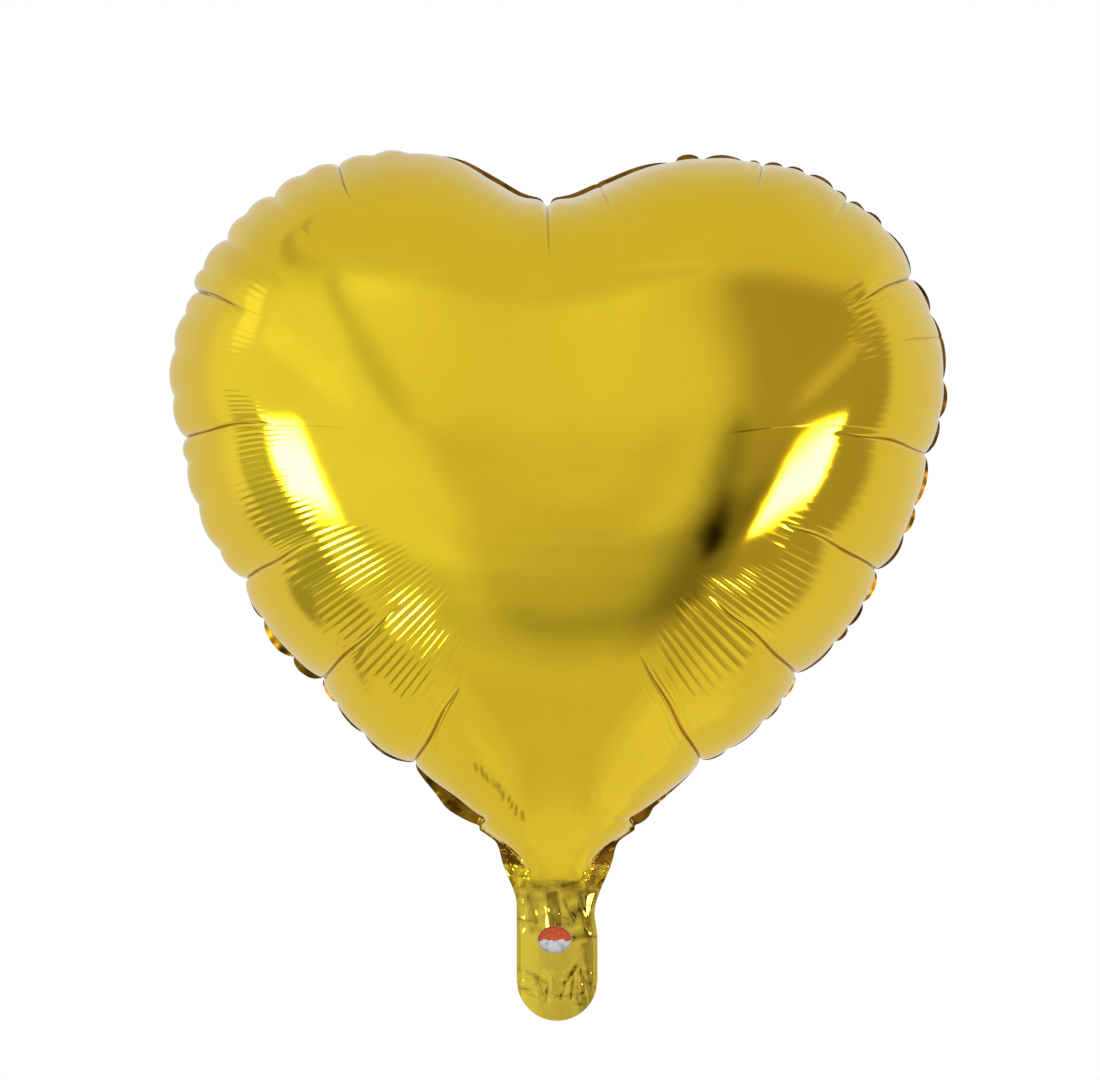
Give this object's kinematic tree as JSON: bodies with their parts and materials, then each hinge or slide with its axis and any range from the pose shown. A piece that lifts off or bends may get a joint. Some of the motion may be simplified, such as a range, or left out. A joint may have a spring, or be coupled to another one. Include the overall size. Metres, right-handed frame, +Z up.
{
  "type": "heart-shaped foil balloon",
  "caption": "Heart-shaped foil party balloon, blown up, with a sealed rim and a flat tail that holds an oval inflation port.",
  "frame": {"origin": "middle of the tie crease, where the blown-up body ends and the flat tail begins, on the seam plane", "axes": "+Z up from the tail to the cleft of the heart, -Y out of the front panel with the inflation port, +X to the right seen from the front"},
  "size_m": [0.3712, 0.1642, 0.4166],
  "materials": {
    "gold_foil": "glossy metallised gold film",
    "valve_film": "clear soft film with a milky haze",
    "release_ink": "matte orange-red print"
  },
  "bodies": {
    "balloon": {"front_panel": "gold_foil", "rear_panel": "gold_foil", "valve_front_film": "valve_film", "valve_rear_film": "valve_film"},
    "tail": {"tail_front_film": "gold_foil", "tail_rear_film": "gold_foil", "valve_inlet_front": "valve_film", "valve_inlet_rear": "valve_film", "release_ink": "release_ink"}
  },
  "joints": [
    {"name": "tail_fold", "type": "hinge", "parent": "balloon", "child": "tail", "pos_m": [0, 0, 0], "axis": [1, 0, 0], "range_deg": [-110, 110]}
  ]
}
